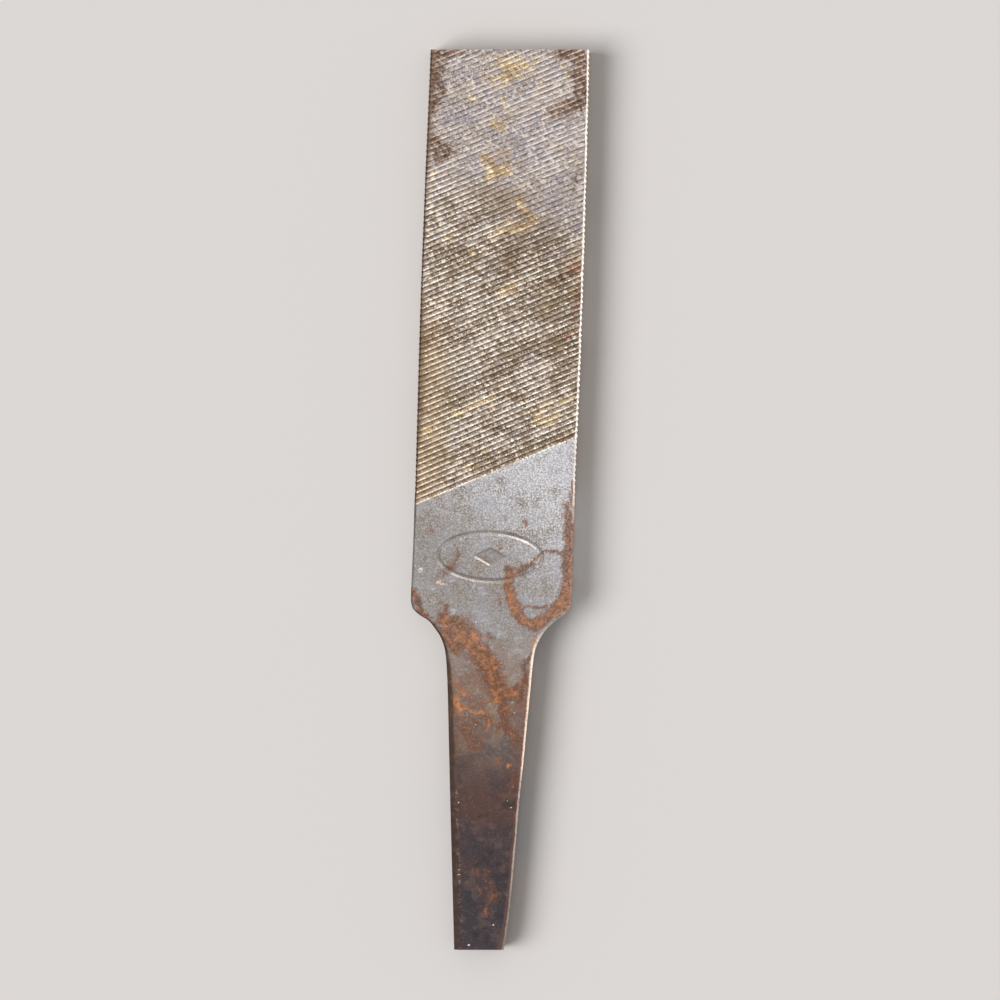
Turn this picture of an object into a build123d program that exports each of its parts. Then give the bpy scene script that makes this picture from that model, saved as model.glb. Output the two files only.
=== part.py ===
from build123d import *
import os
from math import cos, radians, sin

# Flat file: one forging of high-carbon steel, with cut faces, a plain heel, two shoulders and a tapered tang.

# ---------------------------------------------------------------- driving dimensions, mm
thickness = 6.0  # blade and heel, crest to crest

# Edges of the blade, from the cut end down to the shoulder: a slight belly in width.
left_blade = [(-12.50, 69.648), (-12.60, 58.06), (-12.68, 49.36), (-12.75, 30.66), (-12.66, 11.96), (-12.55, -6.74), (-12.63, -16.04)]
right_blade = [(12.32, 70.495), (12.44, 62.06), (12.53, 52.06), (12.60, 36.16), (12.60, 22.16), (12.53, 12.76), (12.40, 3.46), (12.38, -5.94), (12.42, -15.14)]

# Shoulders: rounded corner, then a concave sweep into the neck.
left_shoulder = [(-12.63, -16.04), (-12.36, -17.29), (-11.29, -18.39), (-9.82, -19.24), (-8.74, -20.44), (-7.64, -22.09), (-7.01, -24.01), (-6.625, -27.12)]
right_shoulder = [(12.42, -15.14), (12.22, -16.46), (11.53, -17.48), (9.73, -18.94), (8.46, -20.27), (7.58, -21.79), (6.97, -23.46), (6.69, -25.90)]

# Tang edges, from the neck to the narrow end.
left_tang = [(-6.625, -27.12), (-6.417, -30.0), (-5.881, -39.34), (-5.344, -48.69), (-4.777, -58.04), (-4.03, -70.495)]
right_tang = [(6.69, -25.90), (6.475, -29.56), (6.03, -36.59), (5.737, -41.28), (5.383, -45.97), (5.137, -50.66), (4.644, -60.04), (4.352, -64.74), (3.72, -70.235)]

# Thickness of the tang: drawn thinner on both faces from the neck to the end.
tang_taper_start = -19.0
tang_end_thickness = 4.2
tang_end = -70.495
tip_end = 70.495

# Teeth: main rows across both faces.
row_angle = 24.7  # degrees from square across the blade, rising to the right
row_pitch = 0.795  # square to the rows
row_depth = 0.27
row_front = 0.29  # run of the front of each tooth, on the tip side of its crest
heel_line = 3.92  # distance of the first row from the origin, square to the rows
crest_land = 0.05
comb_reach = 48.0  # how far along the rows the teeth are cut, past the far corner of the blade

bevel_start, bevel_neck = -26.0, 0.35  # bevel on the tang's long edges: where it starts, and its width there
bevel_end = 1.0  # and its width at the end of the tang
bevel_left = (-6.72, -3.97)  # where the bevelled edge runs, at the neck and at the end
bevel_right = (6.66, 3.80)

# Stamped mark on the heel: plain oval ring and a small diamond, no lettering.
mark_centre = (-0.5, -9.0)
mark_radii = (8.4, 4.0)
mark_line = 0.55
mark_depth = 0.15
diamond_half = (2.6, 1.4)

os.makedirs("parts", exist_ok=True)

# ---------------------------------------------------------------- the forging
with BuildPart() as flat_file:
    # outline in plan
    with BuildSketch(Plane.XY) as plan:
        with BuildLine():
            Spline(left_blade)
            Spline(left_shoulder + left_tang[1:])
            Line(left_tang[-1], right_tang[-1])
            Spline(right_shoulder + right_tang[1:])
            Spline(right_blade)
            Line(left_blade[0], right_blade[0])
        make_face()
    extrude(amount=thickness)

    # side view: parallel faces on the blade, both faces of the tang drawn in
    drop = (thickness - tang_end_thickness) / 2
    with BuildSketch(Plane.YZ.offset(-20)) as side:
        with BuildLine():
            Polyline(
                (tip_end + 1, 0),
                (tang_taper_start, 0),
                (tang_end - 1, drop),
                (tang_end - 1, thickness - drop),
                (tang_taper_start, thickness),
                (tip_end + 1, thickness),
                close=True,
            )
        make_face()
    extrude(amount=40, mode=Mode.INTERSECT)

    # long edges of the tang, broken by the forging: bevels that widen from the neck to the end
    def face_drop(y):
        return drop * (y - tang_taper_start) / (tang_end - 1 - tang_taper_start)

    for x_neck, x_end in (bevel_left, bevel_right):
        side_of = 1 if x_neck > 0 else -1
        for upper in (True, False):
            for y, x, w in ((bevel_start, x_neck, bevel_neck), (tang_end - 1, x_end, bevel_end)):
                z = thickness - face_drop(y) if upper else face_drop(y)
                up = 1 if upper else -1
                with BuildSketch(Plane.XZ.offset(-y)):
                    with BuildLine():
                        Polyline(
                            (x - side_of * w - side_of * 1.0, z + up * 1.0),
                            (x + side_of * 1.0, z - up * w - up * 1.0),
                            (x + side_of * 2.0, z + up * 2.0),
                            close=True,
                        )
                    make_face()
            loft(mode=Mode.SUBTRACT)

    # teeth of the two faces: one comb each, run along the rows. Each face slants the same way when looked at
    # from its own side, so seen from above the lower face's rows fall to the right.
    rows = int((70.5 - heel_line) / row_pitch)
    for z_face, up, slant in ((thickness, 1, row_angle), (0.0, -1, -row_angle)):
        along = Vector(cos(radians(slant)), sin(radians(slant)), 0)
        across = Vector(-sin(radians(slant)), cos(radians(slant)), 0)
        # the comb's profile lies in the plane square to the rows: local x across the rows, local y out of the face
        reach = comb_reach if slant > 0 else -comb_reach
        comb_plane = Plane(origin=along * -reach / 3 + Vector(0, 0, z_face), x_dir=across, z_dir=across.cross(Vector(0, 0, up)))
        points = []
        for i in range(rows):
            s = heel_line + i * row_pitch
            points.append((s, 0))
            points.append((s + row_front, -row_depth))
            points.append((s + row_pitch - crest_land, 0))
        far = heel_line + rows * row_pitch
        points += [(far, 0), (far, 1.0), (heel_line, 1.0)]
        with BuildSketch(comb_plane) as comb:
            with BuildLine():
                Polyline(*points, close=True)
            make_face()
        toward = 1 if comb_plane.z_dir.dot(along * reach) > 0 else -1
        extrude(amount=toward * comb_reach * 4 / 3, mode=Mode.SUBTRACT)

    # stamped mark on the upper face of the heel
    with BuildSketch(Plane.XY.offset(thickness)) as mark:
        with Locations(mark_centre):
            Ellipse(*mark_radii)
            Ellipse(mark_radii[0] - mark_line, mark_radii[1] - mark_line, mode=Mode.SUBTRACT)
            with BuildLine():
                Polyline(
                    (mark_centre[0] - diamond_half[0], mark_centre[1]),
                    (mark_centre[0], mark_centre[1] + diamond_half[1]),
                    (mark_centre[0] + diamond_half[0], mark_centre[1]),
                    (mark_centre[0], mark_centre[1] - diamond_half[1]),
                    close=True,
                )
            make_face()
    extrude(amount=-mark_depth, mode=Mode.SUBTRACT)

flat_file.part.label = "flat_file"
export_step(flat_file.part, "parts/flat_file.step")
box = flat_file.part.bounding_box()
print("flat_file", "volume", round(flat_file.part.volume), "box", box.min, box.max)
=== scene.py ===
"""Flat file, worn and rusted: one forging of high-carbon steel with double-cut faces, single-cut edges, a plain heel and a tang.

Everything is worked out in millimetres in the row frame (+Y towards the blade's cut end, +Z up) and scaled to metres at the end.
"""

from math import cos, radians, sin, tan

import bmesh
import bpy
import numpy as np
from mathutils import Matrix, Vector


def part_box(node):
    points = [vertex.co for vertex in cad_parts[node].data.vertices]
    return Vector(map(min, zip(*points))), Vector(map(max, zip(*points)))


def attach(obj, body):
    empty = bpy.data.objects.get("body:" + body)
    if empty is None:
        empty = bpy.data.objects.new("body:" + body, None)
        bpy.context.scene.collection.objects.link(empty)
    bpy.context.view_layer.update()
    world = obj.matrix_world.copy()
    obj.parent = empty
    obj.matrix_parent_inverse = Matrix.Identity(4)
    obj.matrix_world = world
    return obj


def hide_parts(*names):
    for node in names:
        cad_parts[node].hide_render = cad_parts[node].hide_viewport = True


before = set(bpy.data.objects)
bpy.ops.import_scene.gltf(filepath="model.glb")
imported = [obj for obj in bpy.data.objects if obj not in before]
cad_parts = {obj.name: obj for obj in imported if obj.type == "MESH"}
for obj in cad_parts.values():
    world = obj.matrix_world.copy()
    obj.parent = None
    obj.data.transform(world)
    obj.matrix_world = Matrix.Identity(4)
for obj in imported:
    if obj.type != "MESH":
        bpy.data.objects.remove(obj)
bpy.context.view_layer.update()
low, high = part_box("flat_file")
THICK = high.z * 1000
MM = 0.001

# ---------------------------------------------------------------- outline in plan, the same points as the CAD solid
LEFT = [(-12.50, 69.648), (-12.60, 58.06), (-12.68, 49.36), (-12.75, 30.66), (-12.66, 11.96), (-12.55, -6.74), (-12.63, -16.04), (-12.36, -17.29), (-11.29, -18.39),
        (-9.82, -19.24), (-8.74, -20.44), (-7.64, -22.09), (-7.01, -24.01), (-6.625, -27.12), (-6.417, -30.0), (-5.881, -39.34), (-5.344, -48.69), (-4.777, -58.04),
        (-4.03, -70.495)]
RIGHT = [(12.32, 70.495), (12.44, 62.06), (12.53, 52.06), (12.60, 36.16), (12.60, 22.16), (12.53, 12.76), (12.40, 3.46), (12.38, -5.94), (12.42, -15.14), (12.22, -16.46),
         (11.53, -17.48), (9.73, -18.94), (8.46, -20.27), (7.58, -21.79), (6.97, -23.46), (6.69, -25.90), (6.475, -29.56), (6.03, -36.59), (5.737, -41.28), (5.383, -45.97),
         (5.137, -50.66), (4.644, -60.04), (4.352, -64.74), (3.72, -70.235)]
TIP_SLOPE = (70.495 - 69.648) / (12.32 + 12.50)  # the blade's cut end isn't quite square
TIP_Y = 70.495 - TIP_SLOPE * 12.32
TAIL_SLOPE = (70.495 - 70.235) / (4.03 + 3.72)  # nor is the tang's
TAIL_Y = -70.495 + TAIL_SLOPE * 4.03
TAPER_START, TAIL_THICK = -19.0, 4.2

# ---------------------------------------------------------------- teeth
HEEL_Y = 4.44  # the first row crosses the middle of the blade here
ROW_Y = (0.876, 0.834)  # rows apart along the file, at the heel and at the tip
SLANT = (tan(radians(24.8)), tan(radians(24.0)))  # rise of the rows to the right, at the heel and at the tip
DEPTH = 0.27
OVERCUT_ANGLE, OVERCUT_PITCH, OVERCUT_DEPTH = radians(-46.0), 0.374, 0.13
EDGE_DEPTH, EDGE_SLANT, EDGE_START = 0.20, tan(radians(16)), 1.5

# stamped mark on the heel: a plain oval ring and a small diamond
MARK = (-0.5, -9.0)
MARK_RADII, MARK_LINE, MARK_DEPTH, DIAMOND = (8.4, 4.0), 0.55, 0.15, (2.6, 1.4)

# ---------------------------------------------------------------- rust, placed one by one: name, path, radius at each end, amount, hue from dark brown (0) to orange (1)
STROKES = [
    ("tip corner, left", [(-12.1, 69.1), (-10.0, 68.9), (-7.9, 69.6)], 0.87, 0.53, 1.00, 0.40),
    ("left edge near the tip", [(-12.0, 68.0), (-11.5, 65.5), (-11.1, 63.7), (-11.7, 61.8), (-11.9, 59.9)], 1.22, 0.53, 0.95, 0.25),
    ("left edge spot", [(-12.1, 55.2), (-10.8, 54.3), (-9.4, 53.9), (-10.7, 52.8)], 1.04, 0.87, 0.90, 0.18),
    ("tip corner, right", [(8.2, 69.6), (9.6, 70.0), (11.1, 69.7)], 0.87, 0.62, 0.95, 0.45),
    ("right edge near the tip", [(11.0, 68.5), (10.6, 66.6), (11.4, 65.4), (11.0, 63.5), (10.8, 61.9)], 1.04, 0.87, 0.84, 0.30),
    ("diagonal streak", [(7.4, 60.6), (8.6, 61.2), (10.0, 62.1), (11.8, 62.9)], 0.96, 0.87, 0.95, 0.28),
    ("right edge, upper", [(11.5, 51.4), (10.9, 49.8), (11.1, 47.9)], 0.62, 0.55, 0.50, 0.40),
    ("right edge spots", [(9.2, 35.1), (10.3, 36.0), (11.9, 36.9)], 0.62, 0.93, 0.75, 0.80),
    ("right edge spots halo", [(7.0, 34.4), (8.9, 34.9), (10.4, 35.3)], 0.62, 0.78, 0.45, 0.10),
    ("right edge spots 2", [(11.3, 31.6), (12.1, 32.4)], 0.47, 0.62, 0.65, 0.70),
    ("right edge spot 3", [(9.7, 25.3), (10.8, 25.9), (11.8, 26.4)], 0.47, 0.55, 0.70, 0.80),
    ("right edge spot 4", [(11.2, 30.3), (12.2, 30.6)], 0.39, 0.39, 0.65, 0.75),
    ("right edge spot 5", [(11.7, 17.5), (12.6, 18.0)], 0.47, 0.47, 0.55, 0.50),
    ("left edge mid", [(-12.1, 23.7), (-11.0, 24.4)], 0.55, 0.47, 0.60, 0.65),
    ("left edge mid 2", [(-12.4, 27.8), (-11.5, 28.1)], 0.39, 0.31, 0.35, 0.30),
    ("left edge low", [(-12.1, 15.3), (-11.0, 15.7), (-10.1, 16.0)], 0.62, 0.47, 0.50, 0.62),
    ("left edge low 1", [(-12.2, 13.1), (-11.1, 13.3)], 0.47, 0.39, 0.50, 0.60),
    ("left edge low 2", [(-12.4, 8.8), (-12.2, 5.7)], 0.39, 0.31, 0.35, 0.30),
    ("blade smudge", [(-1.6, 37.0), (0.1, 37.9), (1.9, 38.6)], 0.62, 0.47, 0.55, 0.40),
    ("blade smudge 1", [(3.8, 38.3), (5.6, 39.0)], 0.47, 0.39, 0.50, 0.35),
    ("blade smudge 2", [(-1.5, 18.8), (0.1, 19.5), (2.5, 20.8)], 0.47, 0.62, 0.55, 0.15),
    ("blade smudge 2 fleck", [(1.6, 20.0), (2.2, 20.3)], 0.31, 0.31, 0.70, 0.70),
    ("blade smudge 3", [(1.5, 15.3), (3.4, 16.3)], 0.62, 0.47, 0.40, 0.10),
    ("blade smudge 4", [(-0.6, 10.6), (0.8, 11.1)], 0.55, 0.47, 0.65, 0.50),
    ("blade smudge 5", [(-8.2, 2.1), (-5.8, 3.2)], 0.47, 0.47, 0.45, 0.40),
    ("blade smudge 6", [(9.0, 9.0), (11.6, 10.2)], 0.39, 0.39, 0.55, 0.65),
    ("heel, right border", [(12.4, 3.2), (12.3, -0.5), (12.2, -4.4), (12.1, -9.1), (12.3, -13.8), (12.1, -15.8)], 0.50, 1.20, 0.95, 0.22),
    ("heel, right border inner", [(11.0, -0.6), (11.4, -6.8), (11.2, -9.4), (11.6, -13.0)], 0.55, 0.70, 0.70, 0.12),
    ("heel, right corner", [(12.1, -13.8), (11.2, -15.7), (10.0, -17.1)], 1.09, 0.93, 0.98, 0.45),
    ("ring, top line", [(6.2, -9.5), (7.3, -8.4), (8.3, -7.9), (9.7, -8.1), (10.8, -8.5)], 0.27, 0.36, 0.62, 0.08),
    ("ring, left arm", [(2.8, -11.0), (2.4, -13.0), (2.9, -14.7), (3.5, -16.3), (4.1, -17.8), (5.1, -19.0)], 0.62, 0.78, 0.92, 0.40),
    ("ring, bottom", [(5.1, -19.0), (6.7, -19.6), (8.2, -18.6), (9.6, -17.1)], 0.70, 0.78, 0.95, 0.42),
    ("ring, island line", [(4.7, -17.1), (6.3, -16.9), (7.8, -16.6), (9.4, -16.2)], 0.31, 0.31, 0.60, 0.35),
    ("smudge, olive", [(4.2, -11.2), (5.3, -10.4), (6.1, -10.1)], 0.85, 0.65, 0.66, 0.05),
    ("smudge, left", [(-8.0, -12.4), (-7.0, -11.2), (-5.8, -10.0), (-5.4, -8.6)], 0.95, 0.60, 0.53, 0.08),
    ("smudge, left low", [(-8.5, -13.4), (-6.9, -13.5), (-5.4, -13.3)], 0.60, 0.50, 0.45, 0.08),
    ("spot 1", [(5.0, -3.5), (5.1, -3.7)], 0.37, 0.37, 0.80, 0.15),
    ("spot 2", [(-7.2, -17.3), (-7.1, -17.4)], 0.41, 0.41, 0.85, 0.35),
    ("spot 2 halo", [(-8.2, -16.7), (-7.1, -17.6)], 0.78, 0.78, 0.42, 0.40),
    ("spot 3", [(1.0, -16.0), (1.2, -16.2)], 0.47, 0.47, 0.62, 0.05),
    ("spot 4", [(-9.6, -5.2), (-9.4, -5.3)], 0.47, 0.47, 0.50, 0.30),
    ("spot 5", [(1.7, -2.7), (1.8, -2.8)], 0.31, 0.31, 0.50, 0.10),
    ("spot 6", [(0.5, -19.6), (0.6, -19.8)], 0.31, 0.31, 0.45, 0.45),
    ("mark dirt", [(0.3, -6.9), (1.3, -7.6)], 0.42, 0.36, 0.50, 0.25),
    ("left shoulder", [(-12.2, -14.9), (-11.6, -16.5), (-11.0, -17.8), (-10.2, -18.7)], 0.62, 0.62, 0.85, 0.05),
    ("left shoulder curve", [(-10.2, -18.7), (-8.9, -20.1), (-7.9, -21.8), (-7.0, -23.8)], 0.41, 0.37, 0.75, 0.05),
    ("neck band, start", [(-7.3, -19.1), (-6.1, -19.7), (-4.6, -20.6), (-3.5, -21.0)], 1.05, 1.20, 0.93, 0.29),
    ("neck band, corner", [(-7.3, -21.0), (-6.6, -22.2), (-6.0, -23.0), (-5.0, -23.7)], 0.93, 0.62, 0.85, 0.35),
    ("neck band", [(-4.5, -21.0), (-2.9, -22.7), (-1.4, -24.5), (-0.1, -26.4), (1.1, -28.5), (1.8, -30.5)], 1.55, 1.00, 0.95, 0.32),
    ("neck band spur", [(-0.7, -21.4), (0.4, -21.8)], 0.47, 0.39, 0.55, 0.10),
    ("neck band orange 1", [(-2.5, -20.7), (-2.1, -21.1), (-1.9, -22.1)], 0.42, 0.34, 1.00, 0.90),
    ("neck band orange 2", [(-6.0, -22.7), (-5.9, -23.1)], 0.30, 0.28, 1.00, 0.92),
    ("neck band orange 3", [(-5.2, -21.9), (-4.8, -21.6)], 0.30, 0.26, 0.95, 0.85),
    ("neck stroke", [(1.5, -25.6), (0.7, -26.8), (-0.0, -28.1)], 0.24, 0.15, 0.85, 0.90),
    ("neck band low", [(1.3, -31.3), (2.6, -30.9), (3.5, -30.3), (3.9, -29.3)], 0.70, 0.47, 0.85, 0.50),
    ("neck band low 2", [(1.8, -31.6), (2.3, -33.4), (2.8, -34.7)], 0.86, 1.09, 0.65, 0.15),
    ("right neck edge", [(6.1, -24.1), (5.7, -25.5), (5.4, -27.1), (5.2, -29.6), (4.8, -31.2)], 0.39, 0.70, 0.62, 0.10),
    ("right neck edge 2", [(6.8, -21.6), (6.6, -22.5), (6.4, -23.3)], 0.41, 0.23, 0.85, 0.80),
    ("orange patch 1", [(-5.1, -29.0), (-4.8, -29.9), (-3.8, -30.5)], 0.48, 0.33, 0.70, 0.85),
    ("orange patch 2", [(-5.1, -31.5), (-4.7, -32.3), (-4.2, -32.7)], 0.66, 0.59, 0.85, 0.95),
    ("orange L", [(-4.2, -32.8), (-2.8, -33.2), (-1.3, -33.4), (-0.1, -33.8), (0.1, -35.1), (0.0, -36.2)], 0.26, 0.19, 0.80, 0.90),
    ("faint line", [(-1.3, -31.7), (0.3, -31.8), (1.7, -31.8)], 0.18, 0.15, 0.60, 0.80),
    ("tang brown, upper", [(-3.7, -34.0), (-2.1, -34.8), (-0.3, -34.5)], 0.78, 0.62, 0.50, 0.25),
    ("tang brown, right", [(1.9, -35.0), (3.5, -36.2), (4.5, -37.7)], 1.25, 0.93, 0.60, 0.15),
    ("tang brown, upper left", [(-4.0, -35.8), (-2.7, -37.4), (-1.4, -38.2)], 0.93, 0.93, 0.52, 0.30),
    ("tang yellow 1", [(-3.5, -35.5), (-3.0, -35.8)], 0.39, 0.39, 0.65, 0.80),
    ("tang yellow 2", [(-3.5, -37.1), (-3.0, -38.0)], 0.34, 0.31, 0.60, 0.70),
    ("tang yellow 3", [(-2.8, -38.8), (-1.7, -39.2)], 0.41, 0.41, 0.55, 0.72),
    ("tang yellow 4", [(-0.7, -39.5), (0.2, -39.0)], 0.31, 0.31, 0.38, 0.70),
    ("tang orange small", [(2.9, -41.8), (3.6, -41.4)], 0.21, 0.18, 0.80, 0.95),
    ("tang orange small 2", [(1.3, -40.6), (2.0, -41.1)], 0.23, 0.23, 0.60, 0.55),
    ("tang right brown", [(4.6, -39.3), (4.3, -41.2), (4.5, -42.9), (4.3, -45.2)], 0.62, 0.55, 0.42, 0.12),
    ("tang low brown 1", [(-1.5, -57.7), (-0.1, -57.8), (1.3, -58.3)], 0.39, 0.39, 0.46, 0.30),
    ("tang low brown 2", [(0.1, -58.2), (0.7, -59.7), (1.4, -60.6)], 0.62, 0.62, 0.46, 0.30),
    ("tang low brown 3", [(-0.8, -60.8), (-0.1, -61.6)], 0.37, 0.37, 0.46, 0.30),
    ("tang low brown 4", [(0.8, -62.3), (1.8, -62.6)], 0.53, 0.50, 0.46, 0.30),
    ("tang low dark", [(1.1, -61.7), (2.1, -61.7)], 0.25, 0.25, 0.70, 0.00),
    ("tang orange spot", [(0.5, -64.2), (0.7, -64.5)], 0.46, 0.46, 0.72, 0.72),
]

# golden-brown stain and dried dirt between the teeth: name, path, radius at each end, amount
STAINS = [
    ("stain 1", [(-0.8, 68.4), (0.8, 66.9), (2.2, 67.6)], 1.25, 1.40, 0.75),
    ("stain 2", [(-2.4, 65.5), (-0.7, 65.9), (1.0, 66.3)], 0.93, 1.09, 0.80),
    ("stain 3", [(2.0, 64.8), (4.0, 63.6), (4.8, 64.5)], 1.25, 1.09, 0.45),
    ("stain 4", [(-1.1, 63.4), (-0.9, 61.5), (-0.5, 59.7)], 0.78, 0.78, 0.50),
    ("stain 5", [(-2.2, 58.2), (-0.8, 57.5)], 0.93, 0.78, 0.70),
    ("stain 6", [(-2.9, 52.7), (-1.6, 50.9), (-0.2, 51.6)], 1.25, 1.25, 0.75),
    ("stain 7", [(-3.5, 50.8), (-2.2, 49.6)], 0.93, 0.78, 0.55),
    ("stain 8", [(-1.1, 54.4), (2.0, 53.2)], 1.25, 1.25, 0.35),
    ("stain 9", [(1.8, 47.3), (2.6, 45.4), (3.9, 43.3)], 1.09, 1.25, 0.65),
    ("stain 10", [(-1.0, 41.6), (1.2, 42.6), (3.6, 43.0)], 0.90, 1.00, 0.70),
    ("stain 11", [(-5.3, 38.3), (-2.2, 40.6)], 0.78, 0.78, 0.50),
    ("stain 12", [(-9.1, 40.1), (-8.1, 40.7)], 0.62, 0.62, 0.55),
    ("stain 13", [(-0.4, 32.2), (0.9, 32.9), (2.4, 33.6)], 0.62, 0.62, 0.75),
    ("stain 14", [(5.1, 32.7), (7.7, 33.8)], 0.62, 0.62, 0.40),
    ("stain 15", [(-9.7, 32.6), (-8.8, 33.2)], 0.62, 0.47, 0.45),
    ("stain 16", [(-4.7, 13.7), (-2.9, 14.7), (-1.1, 15.7)], 0.78, 0.62, 0.55),
    ("stain 17", [(-6.7, 12.7), (-5.6, 13.4)], 0.62, 0.62, 0.60),
    ("stain 18", [(5.9, 12.8), (7.8, 12.0), (9.0, 13.5)], 0.85, 1.00, 0.62),
    ("stain 19", [(4.9, 13.7), (6.5, 15.0)], 0.78, 0.78, 0.45),
    ("stain 20", [(-12.1, 9.4), (-10.5, 10.4)], 0.62, 0.62, 0.60),
    ("stain 21", [(-3.2, 4.4), (-0.7, 5.7)], 0.62, 0.62, 0.60),
    ("stain 22", [(-7.2, 13.3), (-6.2, 12.4)], 0.78, 0.62, 0.50),
    ("stain 23", [(-8.4, 63.5), (-7.3, 61.6)], 0.78, 0.62, 0.35),
    ("stain 24", [(-5.8, 62.6), (-5.1, 61.7)], 0.62, 0.62, 0.50),
    ("stain 25", [(-11.9, 49.6), (-8.5, 50.7)], 0.62, 0.62, 0.40),
    ("stain 26", [(7.8, 68.1), (8.7, 67.5)], 0.47, 0.47, 0.60),
    ("stain 27", [(10.1, 54.7), (11.4, 53.2)], 0.62, 0.62, 0.45),
    ("stain 28", [(-12.2, 32.8), (-10.4, 33.8)], 0.62, 0.62, 0.35),
    ("stain 29", [(6.5, 49.0), (8.4, 50.3)], 0.78, 0.78, 0.35),
    ("stain 30", [(8.2, 20.1), (9.7, 21.1)], 0.62, 0.62, 0.40),
]

# cream-coloured dried dirt
DEPOSITS = [
    ("cream 1", [(6.9, 11.9), (8.1, 12.6), (9.6, 13.7)], 0.62, 0.70),
    ("cream 1 b", [(6.5, 14.4), (8.9, 15.1), (11.7, 16.1)], 0.47, 0.47),
    ("cream 2", [(6.2, 13.1), (7.7, 14.0)], 0.47, 0.31),
    ("cream 3", [(-1.3, 14.8), (-0.5, 13.8)], 0.39, 0.31),
    ("cream 4", [(-7.2, 13.0), (-5.6, 13.4)], 0.31, 0.31),
    ("cream 5", [(-11.6, 9.9), (-11.2, 10.2)], 0.34, 0.31),
    ("cream 6", [(-3.1, 51.8), (-2.3, 50.9)], 0.55, 0.47),
    ("cream 7", [(-0.3, 68.1), (0.3, 68.7)], 0.47, 0.39),
    ("cream 7 b", [(-1.1, 66.2), (-0.3, 65.6)], 0.39, 0.39),
    ("cream 8", [(1.2, 41.7), (3.0, 42.3)], 0.55, 0.47),
    ("cream 8 b", [(2.1, 46.2), (2.8, 45.5)], 0.47, 0.39),
    ("cream 9", [(-9.7, 30.7), (-8.4, 31.2)], 0.31, 0.31),
    ("cream 10", [(0.4, 32.1), (1.2, 32.6)], 0.47, 0.39),
    ("cream 11", [(-2.6, 7.2), (-1.1, 7.9)], 0.31, 0.31),
    ("cream 12", [(-5.2, 4.3), (-3.8, 5.0)], 0.31, 0.31),
    ("cream 13", [(-9.4, 40.4), (-8.2, 41.2)], 0.47, 0.39),
    ("cream 14", [(-11.7, -11.4), (-11.4, -11.6)], 0.31, 0.28),
    ("cream 15", [(5.8, -9.9), (6.3, -9.3)], 0.25, 0.19),
    ("cream 16", [(6.9, -10.5), (7.2, -10.2)], 0.31, 0.28),
    ("cream 17", [(-8.5, -13.4), (-7.7, -13.8)], 0.25, 0.20),
    ("cream 18", [(-6.0, 65.1), (-5.7, 63.9)], 0.31, 0.23),
    ("cream 19", [(-5.8, 62.3), (-5.1, 61.9)], 0.39, 0.31),
    ("cream 20", [(-11.0, 50.6), (-11.9, 49.6)], 0.34, 0.31),
    ("cream 21", [(-11.6, 45.6), (-11.1, 44.7)], 0.31, 0.31),
    ("cream 22", [(8.5, 55.3), (7.3, 54.8)], 0.31, 0.28),
    ("cream 23", [(10.0, 57.9), (10.3, 57.6)], 0.25, 0.25),
]

# oxide on the tang, from blue-black (0) to red-brown (1): name, path, radius at each end, amount, tint
OXIDE = [
    ("blue 1", [(0.8, -38.8), (2.0, -37.8), (2.9, -37.2)], 1.09, 0.93, 0.80, 0.05),
    ("blue 2", [(2.1, -39.4), (3.1, -39.0)], 0.93, 0.78, 0.60, 0.10),
    ("grey 1", [(-4.1, -40.8), (-1.7, -42.0), (0.6, -42.9)], 1.87, 1.87, 0.60, 0.45),
    ("grey olive", [(-4.8, -38.1), (-4.2, -39.6)], 0.78, 0.78, 0.50, 0.50),
    ("brown 1", [(-3.7, -44.9), (-0.9, -44.8), (2.3, -45.3)], 0.78, 0.93, 0.60, 0.75),
    ("dark band", [(-3.6, -46.3), (-2.1, -46.5), (-0.8, -46.5)], 0.55, 0.47, 0.70, 0.55),
    ("red 1", [(-3.1, -48.0), (0.0, -48.2), (3.1, -47.8)], 1.56, 1.56, 0.85, 0.90),
    ("red 2", [(-1.0, -50.4), (-0.8, -51.6)], 0.62, 0.62, 0.90, 1.00),
    ("red 3", [(4.4, -42.4), (4.2, -46.8), (4.0, -49.9)], 0.62, 0.47, 0.70, 0.95),
    ("blue 3", [(-2.8, -52.0), (-1.5, -53.8)], 1.25, 1.09, 0.70, 0.15),
    ("violet", [(1.0, -52.5), (2.0, -54.7), (0.5, -56.3)], 1.87, 1.87, 0.70, 0.30),
    ("blue 4", [(-2.5, -61.0), (-2.1, -63.2), (-1.7, -64.9)], 1.25, 1.25, 0.75, 0.10),
    ("brown 2", [(-2.6, -57.3), (-0.4, -57.9)], 0.78, 0.93, 0.50, 0.60),
    ("violet 2", [(2.7, -59.3), (3.2, -62.4), (2.9, -64.8)], 1.09, 1.09, 0.60, 0.15),
    ("blue 5", [(-1.7, -66.5), (0.2, -67.8), (1.8, -66.8)], 1.87, 1.56, 0.85, 0.05),
    ("brown 3", [(0.6, -60.0), (1.6, -61.8)], 1.09, 1.09, 0.50, 0.70),
]

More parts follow.
